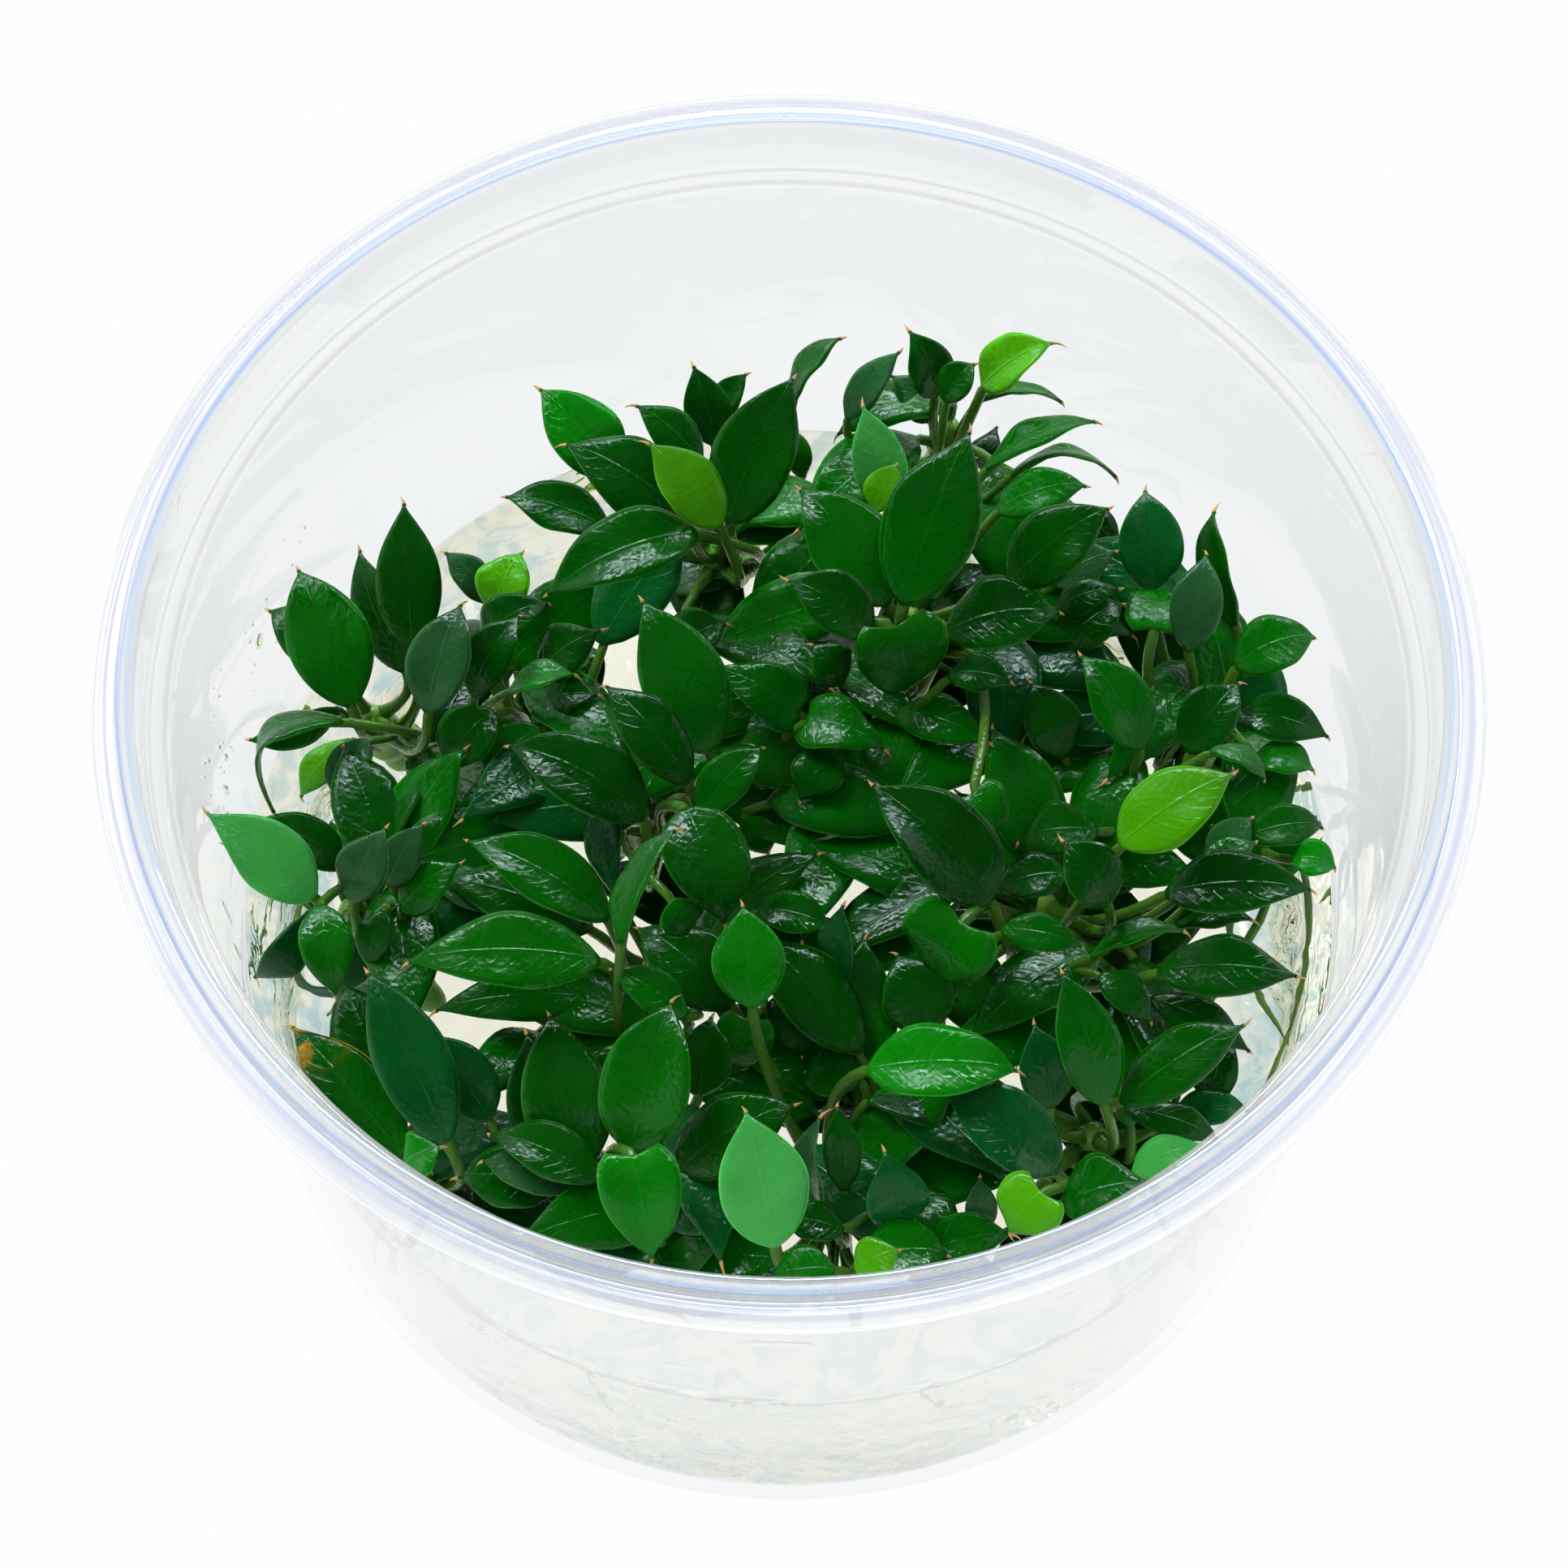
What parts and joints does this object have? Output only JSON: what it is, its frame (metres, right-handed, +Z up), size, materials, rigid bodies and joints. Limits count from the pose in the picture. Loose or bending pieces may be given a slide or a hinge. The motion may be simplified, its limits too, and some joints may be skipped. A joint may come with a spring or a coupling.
{
  "type": "dwarf anubias culture cup",
  "caption": "Small dwarf anubias rosettes with glossy oval leaves, rooted in clear pale nutrient gel inside an open, tapered clear plastic culture cup with a stepped rim",
  "frame": {"origin": "centre of the cup's flat underside, at the bottom of the part's box", "axes": "+Z up along the cup's axis, +X to the right and +Y away from the picture's viewpoint"},
  "size_m": [0.1, 0.1, 0.0634],
  "materials": {
    "cup": "clear, faintly blue, very slightly hazy moulded plastic",
    "gel": "clear pale-cream nutrient gel",
    "rhizome": "light green living stem, satin",
    "leaf_deep": "deep green leaf, glossy upper face",
    "leaf_mid": "green leaf, glossy upper face",
    "leaf_fresh": "fresh green leaf, glossy upper face",
    "leaf_light": "light green leaf, glossy upper face",
    "leaf_young": "yellow-green young leaf, satin",
    "leaf_grey": "grey-green leaf, satin",
    "leaf_dusk": "blue-green leaf, glossy upper face",
    "leaf_edged": "green leaf with a yellowed margin, satin"
  },
  "bodies": {
    "root": {"cup": "cup", "nutrient_gel": "gel", "plantlet_left": "rhizome", "plantlet_left_low": "rhizome", "plantlet_left_back": "rhizome", "plantlet_back_left": "rhizome", "plantlet_back_right": "rhizome", "plantlet_back_middle": "rhizome", "plantlet_middle_left": "rhizome", "plantlet_middle_low": "rhizome", "plantlet_middle": "rhizome", "plantlet_right": "rhizome", "plantlet_front_right": "rhizome", "plantlet_front": "rhizome", "plantlet_front_left": "rhizome", "plantlet_far_left": "rhizome", "leaf_left_1": "leaf_mid", "leaf_left_2": "leaf_deep", "leaf_left_3": "leaf_grey", "leaf_left_4": "leaf_mid", "leaf_left_low_1": "leaf_light", "leaf_left_back_1": "leaf_young", "leaf_left_back_2": "leaf_deep", "leaf_back_left_1": "leaf_fresh", "leaf_back_left_2": "leaf_deep", "leaf_back_left_3": "leaf_deep", "leaf_back_left_4": "leaf_young", "leaf_back_left_5": "leaf_mid", "leaf_back_left_6": "leaf_deep", "leaf_back_right_1": "leaf_young", "leaf_back_middle_1": "leaf_mid", "leaf_back_middle_2": "leaf_mid", "leaf_back_middle_3": "leaf_mid", "leaf_back_middle_4": "leaf_deep", "leaf_back_middle_5": "leaf_mid", "leaf_back_middle_6": "leaf_mid", "leaf_middle_left_1": "leaf_deep", "leaf_middle_left_2": "leaf_mid", "leaf_middle_left_3": "leaf_deep", "leaf_middle_left_4": "leaf_deep", "leaf_middle_low_1": "leaf_mid", "leaf_middle_low_2": "leaf_mid", "leaf_middle_1": "leaf_deep", "leaf_middle_2": "leaf_mid", "leaf_middle_3": "leaf_young", "leaf_middle_4": "leaf_deep", "leaf_middle_5": "leaf_deep", "leaf_right_1": "leaf_dusk", "leaf_right_2": "leaf_mid", "leaf_front_right_1": "leaf_dusk", "leaf_front_right_2": "leaf_mid", "leaf_front_right_3": "leaf_deep", "leaf_front_1": "leaf_fresh", "leaf_front_2": "leaf_fresh", "leaf_front_3": "leaf_light", "leaf_front_left_1": "leaf_fresh", "leaf_front_left_2": "leaf_deep", "leaf_front_left_3": "leaf_mid", "leaf_far_left_1": "leaf_dusk", "leaf_far_left_2": "leaf_edged"}
  },
  "joints": []
}
